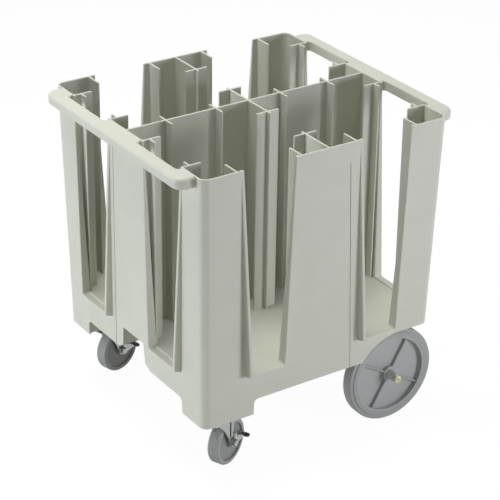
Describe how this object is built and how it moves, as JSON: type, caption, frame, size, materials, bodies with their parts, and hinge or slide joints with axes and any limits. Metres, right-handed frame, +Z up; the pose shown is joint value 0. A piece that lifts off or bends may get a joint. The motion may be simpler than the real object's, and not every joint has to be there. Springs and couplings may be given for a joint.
{
  "type": "dish caddy",
  "caption": "Wheeled catering caddy with open plate columns round a cross of divider walls, end handle rails, braked swivel casters in front and large fixed wheels behind.",
  "frame": {"origin": "on the floor under the middle of the body", "axes": "+Z up, +X towards the large wheels, -X towards the casters, -Y is the side facing the viewer in the picture"},
  "size_m": [0.812, 0.7242, 0.846],
  "materials": {
    "body_plastic": "pale grey moulded polyethylene, fine grain",
    "wheel_plastic": "grey moulded plastic",
    "grey_rubber": "grey non-marking rubber",
    "black_rubber": "black rubber",
    "bush_plastic": "grey nylon",
    "zinc_steel": "bright zinc plated steel",
    "yellow_zinc": "yellow zinc plated steel"
  },
  "bodies": {
    "chassis": {"deck": "body_plastic", "skirt_front": "body_plastic", "skirt_rear": "body_plastic", "skirt_near": "body_plastic", "skirt_far": "body_plastic", "foot_near": "body_plastic", "foot_far": "body_plastic", "base_rib_near": "body_plastic", "base_rib_far": "body_plastic", "post_front_near": "body_plastic", "post_front_far": "body_plastic", "post_rear_near": "body_plastic", "post_rear_far": "body_plastic", "side_panel_near": "body_plastic", "side_panel_far": "body_plastic", "end_panel_front": "body_plastic", "end_panel_rear": "body_plastic", "column_divider": "body_plastic", "cross_wall_near": "body_plastic", "cross_wall_far": "body_plastic", "handle_rail_front": "body_plastic", "handle_rail_rear": "body_plastic", "rear_axle": "zinc_steel", "axle_bracket_near": "zinc_steel", "axle_bracket_far": "zinc_steel", "bracket_bolts": "zinc_steel", "bracket_nuts": "zinc_steel", "axle_washers": "zinc_steel", "axle_nuts": "yellow_zinc", "caster_plate_near": "zinc_steel", "caster_plate_far": "zinc_steel", "caster_race_near": "zinc_steel", "caster_race_far": "zinc_steel", "caster_king_pin_near": "zinc_steel", "caster_king_pin_far": "zinc_steel", "caster_plate_bolts": "zinc_steel", "caster_plate_nuts": "zinc_steel"},
    "near_rear_wheel": {"rear_wheel_near": "wheel_plastic", "rear_tyre_near": "grey_rubber", "rear_bush_near": "bush_plastic"},
    "near_swivel": {"caster_fork_near": "zinc_steel", "caster_bolt_near": "zinc_steel", "caster_nut_near": "zinc_steel", "caster_spacer_near": "zinc_steel"},
    "near_caster_wheel": {"caster_wheel_near": "wheel_plastic", "caster_tread_near": "grey_rubber"},
    "near_brake": {"brake_lever_near": "zinc_steel", "brake_cap_near": "black_rubber"},
    "far_rear_wheel": {"rear_wheel_far": "wheel_plastic", "rear_tyre_far": "grey_rubber", "rear_bush_far": "bush_plastic"},
    "far_swivel": {"caster_fork_far": "zinc_steel", "caster_bolt_far": "zinc_steel", "caster_nut_far": "zinc_steel", "caster_spacer_far": "zinc_steel"},
    "far_caster_wheel": {"caster_wheel_far": "wheel_plastic", "caster_tread_far": "grey_rubber"},
    "far_brake": {"brake_lever_far": "zinc_steel", "brake_cap_far": "black_rubber"}
  },
  "joints": [
    {"name": "near_swivel_turn", "type": "hinge", "parent": "chassis", "child": "near_swivel", "pos_m": [-0.2615, -0.278, 0.15], "axis": [0, 0, 1], "continuous": true},
    {"name": "near_caster_roll", "type": "hinge", "parent": "near_swivel", "child": "near_caster_wheel", "pos_m": [-0.23272, -0.26519, 0.0635], "axis": [-0.4067, 0.9135, 0], "continuous": true},
    {"name": "near_brake_press", "type": "hinge", "parent": "near_swivel", "child": "near_brake", "pos_m": [-0.23272, -0.26519, 0.0635], "axis": [-0.4067, 0.9135, 0], "range_deg": [0, 25]},
    {"name": "near_rear_roll", "type": "hinge", "parent": "chassis", "child": "near_rear_wheel", "pos_m": [0.243, -0.305, 0.132], "axis": [0, 1, 0], "continuous": true},
    {"name": "far_swivel_turn", "type": "hinge", "parent": "chassis", "child": "far_swivel", "pos_m": [-0.2615, 0.278, 0.15], "axis": [0, 0, 1], "continuous": true},
    {"name": "far_caster_roll", "type": "hinge", "parent": "far_swivel", "child": "far_caster_wheel", "pos_m": [-0.23107, 0.28615, 0.0635], "axis": [-0.2588, 0.9659, 0], "continuous": true},
    {"name": "far_brake_press", "type": "hinge", "parent": "far_swivel", "child": "far_brake", "pos_m": [-0.23107, 0.28615, 0.0635], "axis": [-0.2588, 0.9659, 0], "range_deg": [0, 25]},
    {"name": "far_rear_roll", "type": "hinge", "parent": "chassis", "child": "far_rear_wheel", "pos_m": [0.243, 0.305, 0.132], "axis": [0, 1, 0], "continuous": true}
  ]
}
